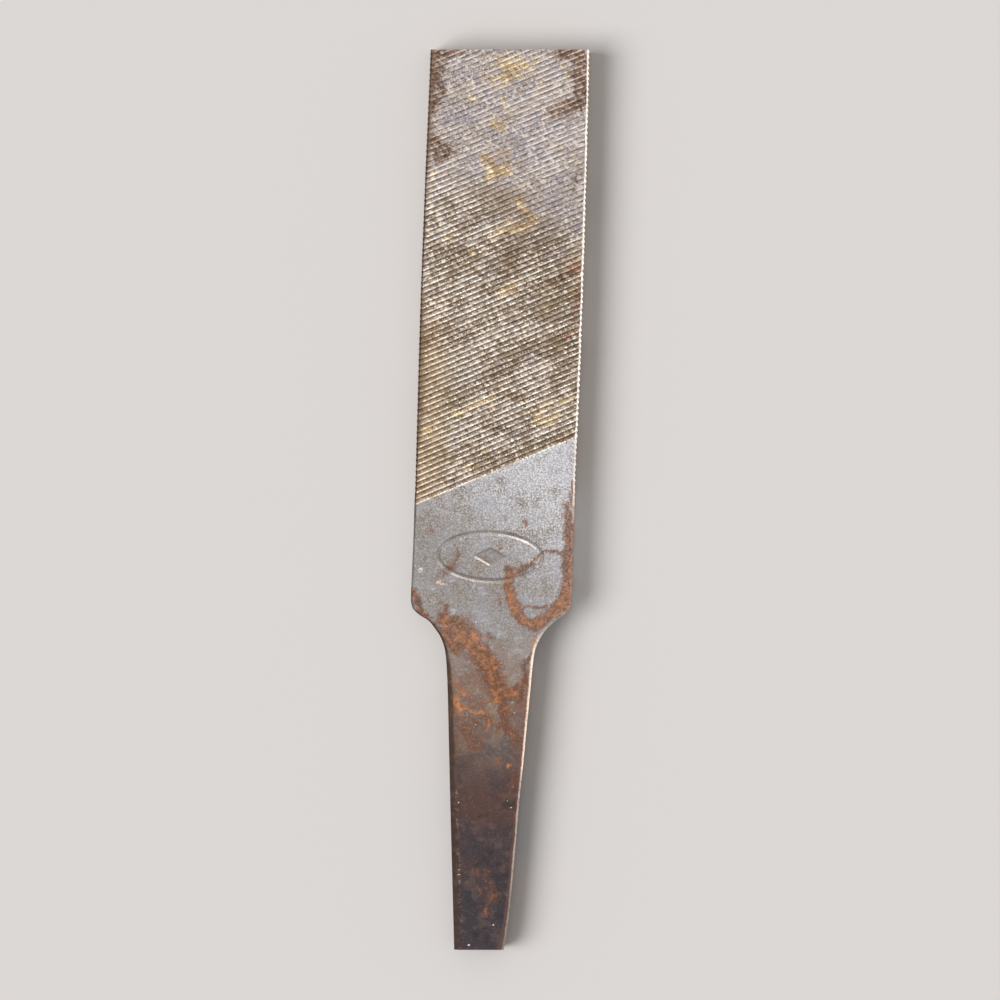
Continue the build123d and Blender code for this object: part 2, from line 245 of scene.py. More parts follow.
# pale specks of dirt
SPECKS = [ (3.3, -47.0, 0.22), (2.1, -66.5, 0.23), (-1.6, -69.6, 0.30), (-4.8, -45.1, 0.19), (-5.1, -44.3, 0.16), (-4.6, -46.0, 0.14), (-4.0, -47.4, 0.19), (-4.5, -48.5, 0.16), (-4.4, -55.7, 0.17), (-3.9, -57.7, 0.16), (-3.7, -58.7, 0.20), (-3.7, -62.6, 0.16), (-2.0, -52.6, 0.16), (1.7, -51.7, 0.14), (4.2, -50.4, 0.22), (3.5, -31.7, 0.25), (3.1, -31.2, 0.16), (4.5, -41.5, 0.19), (-2.1, -26.3, 0.17), (4.3, -22.5, 0.20), (-2.4, -19.4, 0.20), (-5.9, -28.0, 0.16), (-2.0, -35.1, 0.26), (-2.9, -66.5, 0.14), (3.9, -61.6, 0.19), (0.4, -45.3, 0.14), (3.9, -48.0, 0.14), (3.9, -33.2, 0.16), (3.5, -44.6, 0.14), (0.1, -31.8, 0.16), (-2.6, -31.1, 0.16), (1.9, -7.2, 0.16) ]


def pchip(points):
    """A smooth curve through (x, y) points that doesn't overshoot: x as a function of y."""
    pts = sorted((p[1], p[0]) for p in points)
    x = np.array([p[0] for p in pts])
    y = np.array([p[1] for p in pts])
    h, d = np.diff(x), np.diff(y) / np.diff(x)
    m = np.zeros_like(y)
    m[0], m[-1] = d[0], d[-1]
    for i in range(1, len(y) - 1):
        if d[i - 1] * d[i] > 0:
            w1, w2 = 2 * h[i] + h[i - 1], h[i] + 2 * h[i - 1]
            m[i] = (w1 + w2) / (w1 / d[i - 1] + w2 / d[i])

    def f(q):
        q = np.asarray(q, float)
        c = np.clip(q, x[0], x[-1])
        i = np.clip(np.searchsorted(x, c) - 1, 0, len(h) - 1)
        t = (c - x[i]) / h[i]
        r = (1 + 2 * t) * (1 - t) ** 2 * y[i] + t * (1 - t) ** 2 * h[i] * m[i] + t * t * (3 - 2 * t) * y[i + 1] + t * t * (t - 1) * h[i] * m[i + 1]
        return r + np.where(q > x[-1], (q - x[-1]) * m[-1], 0) + np.where(q < x[0], (q - x[0]) * m[0], 0)

    return f


x_left, x_right = pchip(LEFT), pchip(RIGHT)


def smooth(a, b, v):
    t = np.clip((np.asarray(v, float) - a) / (b - a), 0, 1)
    return t * t * (3 - 2 * t)


def table(seed):
    return np.random.RandomState(seed).rand(256, 256)


def noise(x, y, scale, seed):
    """Smooth value noise from 0 to 1, with features about scale mm across."""
    grid = table(seed)
    x, y = np.asarray(x, float) / scale + 37.3, np.asarray(y, float) / scale + 91.7
    xi, yi = np.floor(x).astype(int), np.floor(y).astype(int)
    fx, fy = x - xi, y - yi
    fx, fy = fx * fx * (3 - 2 * fx), fy * fy * (3 - 2 * fy)
    a, b = grid[xi & 255, yi & 255], grid[(xi + 1) & 255, yi & 255]
    c, d = grid[xi & 255, (yi + 1) & 255], grid[(xi + 1) & 255, (yi + 1) & 255]
    return (a * (1 - fx) + b * fx) * (1 - fy) + (c * (1 - fx) + d * fx) * fy


def fbm(x, y, scale, seed, octaves=3):
    total, amp, out = 0.0, 1.0, 0.0
    for k in range(octaves):
        out = out + amp * noise(x, y, scale / 2**k, seed + 17 * k)
        total, amp = total + amp, amp * 0.55
    return out / total


def cell(i, j, seed):
    """A number from 0 to 1 for each pair of whole numbers."""
    return table(seed)[np.asarray(i).astype(int) & 255, np.asarray(j).astype(int) & 255]


def stroke(x, y, path, r0, r1, soft=0.45):
    """1 inside a stroke along path whose radius goes from r0 to r1, falling to 0 past its edge."""
    best = np.full(np.shape(x), -1e9)
    lengths = [np.hypot(b[0] - a[0], b[1] - a[1]) for a, b in zip(path, path[1:])]
    total, gone = max(sum(lengths), 1e-6), 0.0
    for (a, b), length in zip(zip(path, path[1:]), lengths):
        dx, dy = b[0] - a[0], b[1] - a[1]
        t = np.clip(((x - a[0]) * dx + (y - a[1]) * dy) / max(dx * dx + dy * dy, 1e-9), 0, 1)
        r = r0 + (r1 - r0) * (gone + t * length) / total
        best = np.maximum(best, (r - np.hypot(x - a[0] - t * dx, y - a[1] - t * dy)) / (soft * np.maximum(r, 0.12)))
        gone += length
    return np.clip(best * 0.5 + 0.5, 0, 1)


def z_top(y):
    """Height of the upper face: level on the blade, drawn in on the tang."""
    return THICK - (THICK - TAIL_THICK) / 2 * np.clip((TAPER_START - y) / (TAPER_START + 71.495), 0, 1)


def z_low(y):
    return THICK - z_top(y)


# ---------------------------------------------------------------- stations: lines across the file that turn with the rows
def stations(tail_slope, heel_step, shoulder_step, tang_step, phases):
    """Each station is (y at x = 0, slope, row number with its fraction, or nan outside the cut)."""
    out = []
    for y in np.arange(TAIL_Y, -24.0, tang_step):
        out.append((y, tail_slope * smooth(-45, TAIL_Y, y) if y > TAIL_Y else tail_slope, np.nan))
    out += [(y, 0.0, np.nan) for y in np.arange(-24.0 + shoulder_step * 0.5, -14.0, shoulder_step)]
    ys = np.linspace(-14.0, HEEL_Y - 0.12, int(18.4 / heel_step))
    out += [(y, SLANT[0] * (y + 14.0) / (HEEL_Y + 14.0), np.nan) for y in ys]
    rows, y = 86, HEEL_Y
    for k in range(rows):
        pitch = ROW_Y[0] + (ROW_Y[1] - ROW_Y[0]) * k / rows
        for p in phases:
            out.append((y + p * pitch, SLANT[0] + (SLANT[1] - SLANT[0]) * (k + p) / rows, k + p))
        y += pitch
    return np.array(out)


PROFILE_P = [0.0, 0.06, 0.45, 0.64, 0.72, 0.88, 0.94, 1.0]
PROFILE_D = [0.0, 0.05, 0.66, 0.95, 1.0, 0.28, 0.04, 0.0]


def edge_teeth(y, row, y_first):
    """How far the single-cut teeth of an edge go in at each station."""
    phase = np.where(np.isfinite(row), row, (y - y_first) / ROW_Y[0])
    f = phase - np.floor(phase)
    return EDGE_DEPTH * (1 - np.abs(2 * f - 1)) ** 0.8 * smooth(EDGE_START - 3.0, EDGE_START + 2.5, y) * (0.7 + 0.6 * noise(y, y * 0, 1.3, 77))


def rim(y, world_left, seed):
    """Width of the bevel along a long edge of a face, and how far it drops."""
    tang = smooth(-20, -30, y)
    wob = 0.72 + 0.56 * fbm(y, y * 0 + (3 if world_left else 9), 1.8, seed + 5)
    if world_left:
        width = 0.30 * (1 - tang) + tang * np.interp(-y, [27, 40, 60, 71], [0.66, 0.82, 1.05, 1.15])
        fall = 0.20 * (1 - tang) + tang * np.interp(-y, [27, 40, 60, 71], [0.45, 0.6, 0.75, 0.8])
    else:
        width = 0.36 * (1 - tang) + tang * np.interp(-y, [22, 34, 48, 60, 71], [0.48, 0.34, 0.34, 0.38, 0.42])
        fall = 0.20 * (1 - tang) + tang * np.interp(-y, [22, 34, 48, 60, 71], [0.38, 0.32, 0.34, 0.45, 0.5])
    return width * wob, fall * wob


def face(side, columns, steps, seed):
    """One wide face as a grid. side is 1 for the upper face and -1 for the lower one, which is the same cut seen from below.
    Returns world x, y, z, the stations and the surface's own fields."""
    st = stations(TAIL_SLOPE * side, *steps)
    y0, m, row = st[:, 0], st[:, 1], st[:, 2]
    lo = x_left if side > 0 else (lambda y: -x_right(y))
    hi = x_right if side > 0 else (lambda y: -x_left(y))
    yl, yr = y0.copy(), y0.copy()
    for _ in range(12):
        yl, yr = y0 + m * lo(yl), y0 + m * hi(yr)
    xl, xr = lo(yl), hi(yr)
    bl_w, bl_d = rim(yl, side > 0, seed)
    br_w, br_d = rim(yr, side < 0, seed)
    inner = np.linspace(0, 1, columns - 7)
    steps_b = np.array([0.0, 0.3, 0.6, 0.85])
    x = np.concatenate(
        [xl[:, None] + bl_w[:, None] * steps_b, (xl + bl_w)[:, None] * (1 - inner) + (xr - br_w)[:, None] * inner, (xr[:, None] - br_w[:, None] * steps_b)[:, ::-1]], axis=1
    )
    y = y0[:, None] + m[:, None] * x

    cut = np.isfinite(row)[:, None] & np.ones_like(x, bool)
    r = np.where(np.isfinite(row), row, 0)[:, None] + 0 * x
    near = np.round(r)  # the crest that each point belongs to
    # the main rows wander a little, as a struck cut does
    y = y + np.where(cut, 0.10 * (noise(x, near * 1.7, 3.5, seed + 1) - 0.5) * smooth(0, 1.5, r), 0)
    # wear takes the crests off towards the cut end
    wear = smooth(33, 60, y + 8 * (fbm(x, y, 9, seed + 6, 2) - 0.5) + 0.35 * x)
    wear = np.clip(wear * (0.8 + 0.4 * fbm(x, y, 5, seed + 7, 2)), 0, 1)

    p = r - np.floor(r)
    main = np.interp(p, PROFILE_P, PROFILE_D)
    main = main ** (1 + 0.8 * wear)
    # the crossing cut breaks each row into teeth, some deeply and some hardly at all
    q = x * -sin(OVERCUT_ANGLE) + y * cos(OVERCUT_ANGLE)
    u = q / OVERCUT_PITCH + 0.25 * (noise(x, y, 2.5, seed + 2) - 0.5)
    g = np.abs(2 * (u % 1) - 1)
    notch = cell(near, np.round(u), seed + 21)
    bite = smooth(0.25, 0.85, notch + 0.25 * (fbm(x, y, 6, seed + 22, 2) - 0.5) + 0.012 * x)
    over = np.clip((g - 0.30) / 0.70, 0, 1) ** 0.8 * (0.15 + 0.95 * bite)
    uneven = fbm(x, y, 1.1, seed + 3, 2) - 0.5
    sunk = smooth(0.55, 0.95, cell(near, np.floor(u / 2), seed + 25)) * 0.07
    depth = DEPTH * main * (0.90 + 0.35 * uneven) + OVERCUT_DEPTH * over * (1 - 0.5 * main) + sunk * (1 - main) + 0.06 * np.clip(uneven, 0, 1) * (1 - main)
    worn = 0.13 * wear
    raw = depth
    depth = np.where(depth < worn, worn + (depth - worn) * 0.15, worn + (depth - worn) * (1 - 0.45 * wear))
    depth = np.where(cut, np.maximum(depth, 0.0), 0.0)

    # plain steel: gentle hollows on the heel, forging scale and pits on the tang
    tang = smooth(-15, -26, y)
    plain = 0.018 * (fbm(x, y, 4.0, seed + 9) - 0.35) + tang * (0.10 * (fbm(x, y, 3.0, seed + 10) - 0.35) + 0.05 * smooth(0.62, 0.85, fbm(x, y, 0.9, seed + 11, 2)))
    depth = depth + np.where(cut, 0, np.maximum(plain, 0) * smooth(HEEL_Y, HEEL_Y - 1.5, y0[:, None]))
    struck = np.zeros_like(x)
    if side > 0:  # the stamped mark
        a, b = x - MARK[0], y - MARK[1]
        f = np.sqrt((a / MARK_RADII[0]) ** 2 + (b / MARK_RADII[1]) ** 2)
        grad = np.sqrt((a / MARK_RADII[0] ** 2) ** 2 + (b / MARK_RADII[1] ** 2) ** 2) / np.maximum(f, 1e-6)
        ring = np.abs((f - 1) / np.maximum(grad, 1e-6) + MARK_LINE / 2)
        ring = 1 - smooth(MARK_LINE / 2 - 0.13, MARK_LINE / 2 + 0.09, ring)
        gem = (1 - np.abs(a) / DIAMOND[0] - np.abs(b) / DIAMOND[1]) / np.hypot(1 / DIAMOND[0], 1 / DIAMOND[1])
        gem = smooth(-0.09, 0.13, gem)
        struck = np.maximum(ring, gem) * (0.60 + 0.7 * fbm(x, y, 4.5, seed + 12, 2))
        depth = depth + MARK_DEPTH * np.clip(struck, 0, 1.1)

    # the outermost columns follow the edge teeth
    b_l = np.clip((x - xl[:, None]) / bl_w[:, None], 0, 1)
    b_r = np.clip((xr[:, None] - x) / br_w[:, None], 0, 1)
    first = np.isfinite(row)
    edge_l, edge_r = edge_teeth(yl, row, yl[first][0]), edge_teeth(yr, row, yr[first][0])
    from_l, from_r = x - xl[:, None], xr[:, None] - x
    x = x + edge_l[:, None] * (1 - b_l) - edge_r[:, None] * (1 - b_r)
    inward = depth + bl_d[:, None] * (1 - b_l) ** 1.4 + br_d[:, None] * (1 - b_r) ** 1.4
    z = z_top(y) - inward if side > 0 else z_low(y) + inward
    near_l, near_r = from_l / bl_w[:, None], from_r / br_w[:, None]
    if side < 0:
        near_l, near_r = near_r, near_l
    along = np.where(np.isfinite(row), row, (y0 - HEEL_Y) / ROW_Y[0])[:, None] + 0 * x
    fields = dict(cut=cut * 1.0, depth=np.where(cut, raw, 0), wear=np.where(cut, wear, 0), row=along, cross=u, rim_l=np.clip(near_l, 0, 4), rim_r=np.clip(near_r, 0, 4), mark=struck,
                  edge_l=from_l if side > 0 else from_r, edge_r=from_r if side > 0 else from_l)
    return (x if side > 0 else -x), y, z, st, fields


verts, tris, quads, fields = [], [], [], {k: [] for k in ("cut", "depth", "wear", "row", "cross", "rim_l", "rim_r", "edge_l", "edge_r", "mark", "face", "wall")}


def add_vertices(x, y, z, **given):
    first = sum(len(v) for v in verts)
    verts.append(np.stack([x.ravel(), y.ravel(), z.ravel()], 1))
    for k in fields:
        fields[k].append(np.broadcast_to(np.asarray(given.get(k, 0.0), float), x.shape).ravel())
    return first + np.arange(x.size).reshape(x.shape)


def grid_faces(idx, thin_at, st):
    """Quads of a grid whose columns are halved below each y in thin_at, with triangles where they halve."""
    y0 = st[:, 0]
    level = np.zeros(len(y0), int)
    for t in thin_at:
        level[y0 < t] += 1
    for i in range(len(y0) - 1):
        a, b = level[i], level[i + 1]
        ra, rb = idx[i, :: 2**a], idx[i + 1, :: 2**b]
        if a == b:
            quads.append(np.stack([ra[:-1], ra[1:], rb[1:], rb[:-1]], 1))
        else:  # the first of the two is the coarse one
            c0, c1, f0, f1, f2 = ra[:-1], ra[1:], rb[:-2:2], rb[1:-1:2], rb[2::2]
            tris.append(np.concatenate([np.stack([c0, f1, f0], 1), np.stack([c0, c1, f1], 1), np.stack([c1, f2, f1], 1)]))


def zipper(a, ya, b, yb, flip):
    """Triangles between two lines of vertices that run the same way along y."""
    out, i, j = [], 0, 0
    while i < len(a) - 1 or j < len(b) - 1:
        if j >= len(b) - 1 or (i < len(a) - 1 and ya[i + 1] <= yb[j + 1]):
            t = (a[i], a[i + 1], b[j])
            i += 1
        else:
            t = (a[i], b[j + 1], b[j])
            j += 1
        out.append(t[::-1] if flip else t)
    tris.append(np.array(out))


TOP_COLUMNS, LOW_COLUMNS = 212, 124
CUTS = (0.03, 0.22, 0.48, 0.74, 0.91)
xt, yt, zt, st_t, ft = face(1, TOP_COLUMNS, (0.15, 0.16, 0.26, CUTS), 11)
it = add_vertices(xt, yt, zt, face=1.0, **ft)
grid_faces(it, (-14.5, -24.0), st_t)
xb, yb, zb, st_b, fb = face(-1, LOW_COLUMNS, (0.30, 0.26, 0.40, (0.04, 0.44, 0.74, 0.91)), 211)
ib = add_vertices(xb, yb, zb, face=-1.0, **fb)
grid_faces(ib, (-14.5,), st_b)

# the two long edges, which carry single-cut teeth along the blade
LEVELS = 7
for world_left in (True, False):
    col_t = it[:, 0] if world_left else it[:, -1]
    col_b = ib[:, -1] if world_left else ib[:, 0]
    px, py, pz = (a[:, 0 if world_left else -1] for a in (xt, yt, zt))
    by = yb[:, -1 if world_left else 0]
    line = x_left if world_left else x_right
    f = np.arange(LEVELS) / (LEVELS - 1) * 0.93 + 0.07
    z_end = z_low(py) + rim(py, world_left, 11)[1] + 0.12
    zz = pz[:, None] * (1 - f) + z_end[:, None] * f
    yy = py[:, None] - EDGE_SLANT * (pz[:, None] - zz) * smooth(-1.0, 9.0, py)[:, None]
    teeth = edge_teeth(py, st_t[:, 2], py[np.isfinite(st_t[:, 2])][0])
    tang = smooth(-19, -28, yy)
    rough = 0.10 * tang * (fbm(yy, zz, 2.5, 301 if world_left else 302) - 0.4)
    xx = line(yy) + (1 if world_left else -1) * (teeth[:, None] + rough * (1 - np.abs(2 * f - 1)))
    near_tail = smooth(TAIL_Y, TAIL_Y + 1.5, yy)
    xx = px[:, None] * (1 - near_tail) + xx * near_tail
    iw = add_vertices(xx, yy, zz, wall=(-1.0 if world_left else 1.0), cut=smooth(EDGE_START - 1, EDGE_START + 0.5, yy), depth=teeth[:, None] * 1.2 + 0 * zz, rim_l=4.0, rim_r=4.0, edge_l=9.0, edge_r=9.0)
    wall = np.concatenate([col_t[:, None], iw], 1)
    q = np.stack([wall[:-1, :-1].ravel(), wall[1:, :-1].ravel(), wall[1:, 1:].ravel(), wall[:-1, 1:].ravel()], 1)
    quads.append(q if world_left else q[:, ::-1])
    zipper(wall[:, -1], yy[:, -1], col_b, by, not world_left)

co = np.concatenate(verts)
F = {k: np.concatenate(v) for k, v in fields.items()}
tri_list = np.concatenate([t for t in tris if len(t)])
quad_list = np.concatenate([q for q in quads if len(q)])
used = np.unique(np.concatenate([tri_list.ravel(), quad_list.ravel()]))
place = np.zeros(len(co), int)
place[used] = np.arange(len(used))
co, tri_list, quad_list = co[used], place[tri_list], place[quad_list]
F = {k: v[used] for k, v in F.items()}
X, Y, Z = co.T

# ---------------------------------------------------------------- surface fields that the material reads
# irregular borders: the strokes are looked up at slightly shifted places
wx = X + 1.0 * (fbm(X, Y, 2.2, 501) - 0.5) + 0.5 * (noise(X, Y, 0.5, 503) - 0.5)
wy = Y + 1.0 * (fbm(X, Y, 2.2, 502) - 0.5) + 0.5 * (noise(X, Y, 0.5, 504) - 0.5)
upper = F["face"] > 0.5
sel = np.flatnonzero(upper)


def close_to(path, reach):
    xs, ys = [p[0] for p in path], [p[1] for p in path]
    x, y = X[sel], Y[sel]
    return sel[(x > min(xs) - reach) & (x < max(xs) + reach) & (y > min(ys) - reach) & (y < max(ys) + reach)]


def paint(rows, soft, exact=0.0):
    """The strongest stroke at each vertex."""
    out = np.zeros_like(X)
    for name, path, r0, r1, *rest in rows:
        near = close_to(path, max(r0, r1) * 3 + 1.2)
        v = stroke(wx[near] * (1 - exact) + X[near] * exact, wy[near] * (1 - exact) + Y[near] * exact, path, r0, r1, soft) * (rest[0] if rest else 1.0)
        out[near] = np.maximum(out[near], v)
    return out


def tint(rows, soft):
    """The mean of the strokes' last number, weighted by strength, and the total strength."""
    value, weight = np.zeros_like(X), np.full_like(X, 1e-6)
    for name, path, r0, r1, amount, t in rows:
        near = close_to(path, max(r0, r1) * 3 + 1.2)
        v = stroke(wx[near], wy[near], path, r0, r1, soft) * amount
        value[near] += v * v * t
        weight[near] += v * v
    return value / weight, weight


rust = paint(STROKES, 1.35)
hue, _ = tint(STROKES, 1.2)
stain = paint(STAINS, 1.6)
cream = paint(DEPOSITS, 1.3)
warm, strength = tint(OXIDE, 1.6)
warm = 0.45 + (warm - 0.45) * np.clip(strength, 0, 1) ** 0.5
speck = np.zeros_like(X)
for sx, sy, sr in SPECKS:
    near = close_to([(sx, sy)], 1.2)
    v = stroke(wx[near] * 0.6 + X[near] * 0.4, wy[near] * 0.6 + Y[near] * 0.4, [(sx - 0.03, sy), (sx + 0.03, sy)], sr * 0.55, sr * 0.55, 0.9)
    speck[near] = np.maximum(speck[near], v)

# where nobody placed anything: patches of the same kinds on the underside and the edges
other = ~upper
patch = smooth(0.54, 0.68, fbm(X + 40 + 1.7 * Z, Y, 6.0, 601)) * (0.5 + 0.4 * smooth(-5, -25, Y))
rust = np.where(other, np.maximum(patch * 0.9, 0.5 * smooth(0.60, 0.75, fbm(X + 1.7 * Z, Y, 1.8, 602))), rust)
hue = np.where(other, np.clip(0.10 + 0.8 * (fbm(X + 1.7 * Z, Y, 3.5, 603) - 0.35), 0, 0.6), hue)
stain = np.where(other, smooth(0.55, 0.75, fbm(X + 1.7 * Z, Y, 4.0, 606)) * 0.55, stain)
warm = np.where(other, np.clip(0.45 + 1.6 * (fbm(X + 1.7 * Z, Y, 5.0, 607) - 0.5), 0, 1), warm)

F["grime"] = np.clip(0.5 + 1.5 * (fbm(X * 0.91 + Y * 0.42, (Y * 0.91 - X * 0.42) * 2.2, 5.0, 604, 3) - 0.5) + 0.9 * (fbm(X + Z, Y, 14.0, 608, 2) - 0.5) + 0.008 * X - 0.13 * smooth(30, 10, Y), 0, 1)
edge_y = Y + 6.0 * (fbm(X + Z, Y, 6.0, 605) - 0.5)
F["dark"] = smooth(-30.0, -47.0, edge_y)
F["brown"] = smooth(-20.0, -30.0, edge_y)
# painted light: lighter towards the first rows on the right, darker to the lower left of the heel, as the light falls
# from the upper right
F["painted_light_gradient"] = np.clip(0.40 + (X * 0.020 + (Y + 4.0) * 0.028), 0, 1)
# dark staining, partly painted shade, that fades in from the left edge, and how bright the right edge is painted, as
# rubbed steel and painted highlight
reach = np.interp(Y, [-70, -45, -40, -30, -22, -15, 0, 6, 12, 26, 32, 48, 54, 66], [1.6, 1.9, 1.9, 1.6, 1.4, 0.4, 0.7, 1.0, 1.7, 1.7, 0.9, 0.8, 1.2, 1.3])
amount = np.interp(Y, [-70, -45, -40, -30, -22, -15, -5, 6, 12, 26, 32, 48, 54, 66], [0.5, 0.6, 0.7, 0.7, 0.5, 0.15, 0.2, 0.7, 0.9, 0.9, 0.7, 0.7, 0.9, 0.9])
# small chips along the inside of the tang's left bevel
F["chips"] = smooth(-43.0, -46.5, Y) * (0.7 + 0.3 * smooth(-66.0, -56.0, Y)) * smooth(0.62, 0.85, F["rim_l"]) * smooth(1.45, 1.15, F["rim_l"]) * upper
# golden teeth low on the left and here and there along the right edge
F["gold"] = np.clip(smooth(9.0, 1.0, F["edge_l"]) * smooth(40, 20, Y) * 0.9 + smooth(4.0, 0.5, F["edge_r"]) * smooth(0.45, 0.7, fbm(X, Y, 7.0, 612, 2)), 0, 1)
F["left"] = np.clip(1 - F["edge_l"] / (reach * (0.7 + 0.6 * fbm(X, Y, 1.6, 609))), 0, 1) * amount
F["rubbed_edge_and_highlight"] = np.interp(Y, [-70, -62, -57, -50, -44, -23, -19, -15, -4, 1, 4, 12], [0.40, 0.50, 0.72, 0.85, 1.0, 1.0, 0.25, 0.0, 0.0, 0.6, 0.85, 1.0]) * upper
F["rust"], F["hue"], F["stain"], F["cream"], F["speck"], F["warm"] = rust, np.clip(hue, 0, 1), stain, cream, speck, np.clip(warm, 0, 1)

# ---------------------------------------------------------------- the mesh itself
mesh = bpy.data.meshes.new("file_forging")
mesh.vertices.add(len(co))
mesh.vertices.foreach_set("co", (co * MM).ravel())
n_t, n_q = len(tri_list), len(quad_list)
mesh.loops.add(n_t * 3 + n_q * 4)
mesh.loops.foreach_set("vertex_index", np.concatenate([tri_list.ravel(), quad_list.ravel()]))
mesh.polygons.add(n_t + n_q)
mesh.polygons.foreach_set("loop_start", np.concatenate([np.arange(n_t) * 3, n_t * 3 + np.arange(n_q) * 4]))
mesh.update(calc_edges=True)

F["depth"] = np.clip(F["depth"] / DEPTH, 0, 1)
ATTRIBUTES = ("cut", "depth", "wear", "row", "cross", "rust", "hue", "stain", "cream", "speck", "grime", "dark", "brown", "warm", "painted_light_gradient", "left", "rubbed_edge_and_highlight", "chips", "gold", "rim_l", "rim_r", "wall", "mark", "face")
for name in ATTRIBUTES:
    layer = mesh.attributes.new(name, "FLOAT", "POINT")
    layer.data.foreach_set("value", F[name].astype(np.float32))

bm = bmesh.new()
bm.from_mesh(mesh)
cap = bm.faces.layers.float.new("cap")
bmesh.ops.bisect_plane(bm, geom=bm.verts[:] + bm.edges[:] + bm.faces[:], dist=1e-7, plane_co=(0, TIP_Y * MM, 0), plane_no=(-TIP_SLOPE, 1, 0), clear_outer=True, clear_inner=False)
# the two cut ends are flat and square to the faces
ends = [e for e in bm.edges if len(e.link_faces) == 1]
made = bmesh.ops.holes_fill(bm, edges=ends, sides=0)["faces"]
for f in bmesh.ops.triangulate(bm, faces=made)["faces"]:
    f[cap] = 1.0
bmesh.ops.recalc_face_normals(bm, faces=bm.faces)
bm.to_mesh(mesh)
print("file_forging:", len(bm.verts), "vertices,", len(bm.faces), "faces,", sum(1 for e in bm.edges if len(e.link_faces) != 2), "open edges")
bm.free()
mesh.shade_smooth()
mesh.set_sharp_from_angle(angle=radians(38))
body = bpy.data.objects.new("file_forging", mesh)
bpy.context.scene.collection.objects.link(body)


# ---------------------------------------------------------------- material
def srgb(r, g, b):
    return tuple((c / 255 / 12.92 if c / 255 <= 0.04045 else ((c / 255 + 0.055) / 1.055) ** 2.4) for c in (r, g, b)) + (1.0,)


class Nodes:
    """Small helpers to wire one material."""

    def __init__(self, name):
        self.mat = bpy.data.materials.new(name)
        self.mat.use_nodes = True
        self.tree = self.mat.node_tree
        self.tree.nodes.clear()
        self.out = self.tree.nodes.new("ShaderNodeOutputMaterial")
        self.shader = self.tree.nodes.new("ShaderNodeBsdfPrincipled")
        self.link(self.shader.outputs[0], self.out.inputs["Surface"])
        self.coords = self.tree.nodes.new("ShaderNodeTexCoord").outputs["Object"]

    def link(self, a, b):
        self.tree.links.new(a, b)

    def put(self, socket, value):
        if hasattr(value, "links"):
            self.link(value, socket)
        else:
            socket.default_value = value

    def attr(self, name):
        n = self.tree.nodes.new("ShaderNodeAttribute")
        n.attribute_name = name
        return n.outputs["Fac"]

    def math(self, op, a, b=0.0, clamp=False):
        n = self.tree.nodes.new("ShaderNodeMath")
        n.operation, n.use_clamp = op, clamp
        self.put(n.inputs[0], a)
        self.put(n.inputs[1], b)
        return n.outputs[0]

    def add(self, a, b):
        return self.math("ADD", a, b)

    def mul(self, a, b):
        return self.math("MULTIPLY", a, b)

    def high(self, a, b):
        return self.math("MAXIMUM", a, b)

    def hashed(self, a, b, c):
        """A number from 0 to 1 for each set of whole numbers."""
        join = self.tree.nodes.new("ShaderNodeCombineXYZ")
        for socket, v in zip(join.inputs, (a, b, c)):
            self.put(socket, v)
        n = self.tree.nodes.new("ShaderNodeTexWhiteNoise")
        n.noise_dimensions = "3D"
        self.link(join.outputs[0], n.inputs["Vector"])
        return n.outputs["Value"]

    def jitter(self, v, noise, amount):
        """v plus noise about its middle value."""
        return self.add(v, self.mul(self.add(noise, -0.5), amount))

    def ramp(self, v, low, high, to_low=0.0, to_high=1.0):
        """v from low..high to to_low..to_high, smoothly and no further."""
        n = self.tree.nodes.new("ShaderNodeMapRange")
        n.interpolation_type = "SMOOTHSTEP"
        self.put(n.inputs["Value"], v)
        for key, x in (("From Min", low), ("From Max", high), ("To Min", to_low), ("To Max", to_high)):
            n.inputs[key].default_value = x
        return n.outputs[0]

    def mix(self, fac, a, b):
        n = self.tree.nodes.new("ShaderNodeMix")
        n.data_type = "RGBA"
        self.put(n.inputs[0], fac)
        self.put(n.inputs[6], a)
        self.put(n.inputs[7], b)
        return n.outputs[2]

    def noise(self, mm, detail=3.0, rough=0.55, stretch=(1, 1, 1), offset=0.0):
        """Noise whose features are about mm millimetres across."""
        m = self.tree.nodes.new("ShaderNodeMapping")
        m.inputs["Scale"].default_value = stretch
        m.inputs["Location"].default_value = (offset, offset * 0.7, offset * 0.3)
        self.link(self.coords, m.inputs["Vector"])
        n = self.tree.nodes.new("ShaderNodeTexNoise")
        n.inputs["Scale"].default_value = 1000.0 / mm
        n.inputs["Detail"].default_value = detail
        n.inputs["Roughness"].default_value = rough
        self.link(m.outputs[0], n.inputs["Vector"])
        return n.outputs["Fac"]


N = Nodes("worn_file_steel")
a = {k: N.attr(k) for k in ATTRIBUTES}
grain, fine = N.noise(0.24, 2.0, 0.6), N.noise(0.45, 2.0, 0.6, offset=0.013)
mid, wide = N.noise(1.5, 3.0, 0.6, offset=0.031), N.noise(6.0, 3.0, 0.55, offset=0.007)
fleck, blotch = N.noise(0.30, 1.0, 0.5, offset=0.057), N.noise(3.2, 3.0, 0.6, offset=0.083)
salt = N.jitter(N.jitter(N.noise(0.17, 0.0, 0.5, offset=0.071), fleck, 0.6), mid, 0.3)
